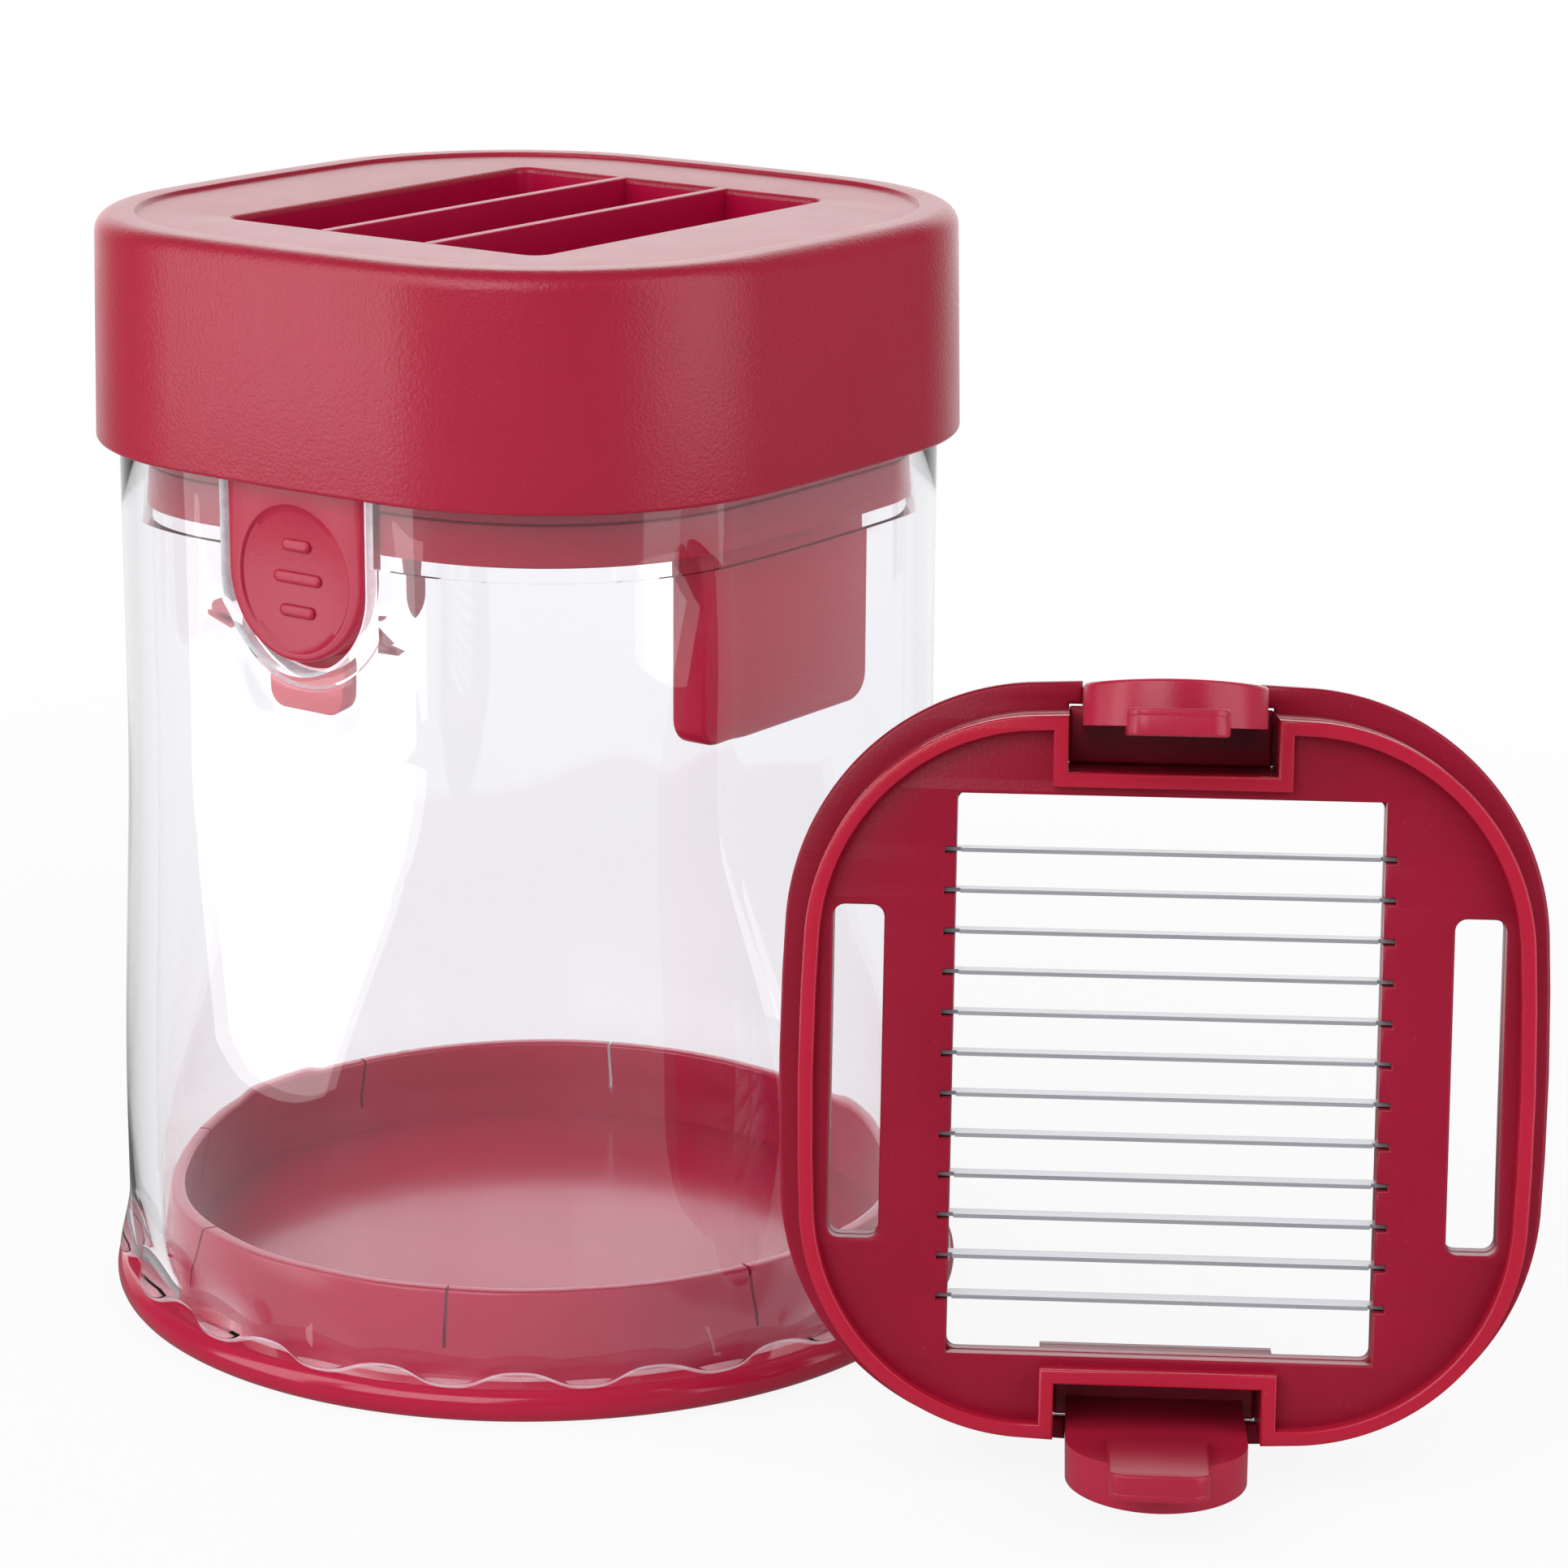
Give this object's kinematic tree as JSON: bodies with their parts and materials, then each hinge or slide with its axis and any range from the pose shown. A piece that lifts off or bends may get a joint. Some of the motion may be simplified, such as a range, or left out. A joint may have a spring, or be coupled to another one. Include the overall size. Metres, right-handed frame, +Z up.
{
  "type": "vegetable chopper",
  "caption": "Press-through vegetable chopper with a clear jar, round base cap, blade insert with spring clips, guided press cap and a spare blade insert beside it.",
  "frame": {"origin": "middle of the base cap's underside, on the table", "axes": "+Z up along the jar, X through the cap's two guide legs, Y through the two spring clips"},
  "size_m": [0.2062, 0.1178, 0.15],
  "materials": {
    "cap_red": "satin fine grain",
    "base_red": "polished",
    "insert_red": "satin",
    "clear_plastic": "clear",
    "blade_steel": "ground"
  },
  "bodies": {
    "base": {"base_cap": "base_red", "spare_blade_frame": "insert_red", "spare_blade_retainer": "insert_red", "spare_blade_01": "blade_steel", "spare_blade_02": "blade_steel", "spare_blade_03": "blade_steel", "spare_blade_04": "blade_steel", "spare_blade_05": "blade_steel", "spare_blade_06": "blade_steel", "spare_blade_07": "blade_steel", "spare_blade_08": "blade_steel", "spare_blade_09": "blade_steel", "spare_blade_10": "blade_steel", "spare_blade_11": "blade_steel", "spare_blade_12": "blade_steel"},
    "jar": {"jar": "clear_plastic", "blade_frame": "insert_red", "blade_retainer": "insert_red", "blade_01": "blade_steel", "blade_02": "blade_steel", "blade_03": "blade_steel", "blade_04": "blade_steel", "blade_05": "blade_steel", "blade_06": "blade_steel", "blade_07": "blade_steel", "blade_08": "blade_steel", "blade_09": "blade_steel", "blade_10": "blade_steel", "blade_11": "blade_steel", "blade_12": "blade_steel"},
    "press_cap": {"press_cap": "cap_red"},
    "clip_front": {"clip_front": "insert_red"},
    "clip_back": {"clip_back": "insert_red"},
    "spare_clip_lower": {"spare_clip_lower": "insert_red"},
    "spare_clip_upper": {"spare_clip_upper": "insert_red"}
  },
  "joints": [
    {"name": "jar_lift", "type": "slide", "parent": "base", "child": "jar", "axis": [0, 0, 1], "range_m": [0, 0.03]},
    {"name": "cap_press", "type": "slide", "parent": "jar", "child": "press_cap", "axis": [0, 0, 1], "range_m": [0, 0.045]},
    {"name": "clip_front_squeeze", "type": "hinge", "parent": "jar", "child": "clip_front", "pos_m": [0, -0.03835, 0.128], "axis": [1, 0, 0], "range_deg": [0, 6], "stiffness_Nm_per_rad": 0.6},
    {"name": "clip_back_squeeze", "type": "hinge", "parent": "jar", "child": "clip_back", "pos_m": [0, 0.03835, 0.128], "axis": [-1, 0, 0], "range_deg": [0, 6], "stiffness_Nm_per_rad": 0.6},
    {"name": "spare_clip_lower_squeeze", "type": "hinge", "parent": "base", "child": "spare_clip_lower", "pos_m": [0.10274, -0.00213, 0.01076], "axis": [-0.848, -0.5299, 0], "range_deg": [0, 10], "stiffness_Nm_per_rad": 0.6},
    {"name": "spare_clip_upper_squeeze", "type": "hinge", "parent": "base", "child": "spare_clip_upper", "pos_m": [0.09498, 0.01028, 0.08606], "axis": [0.848, 0.5299, 0], "range_deg": [0, 10], "stiffness_Nm_per_rad": 0.6}
  ]
}
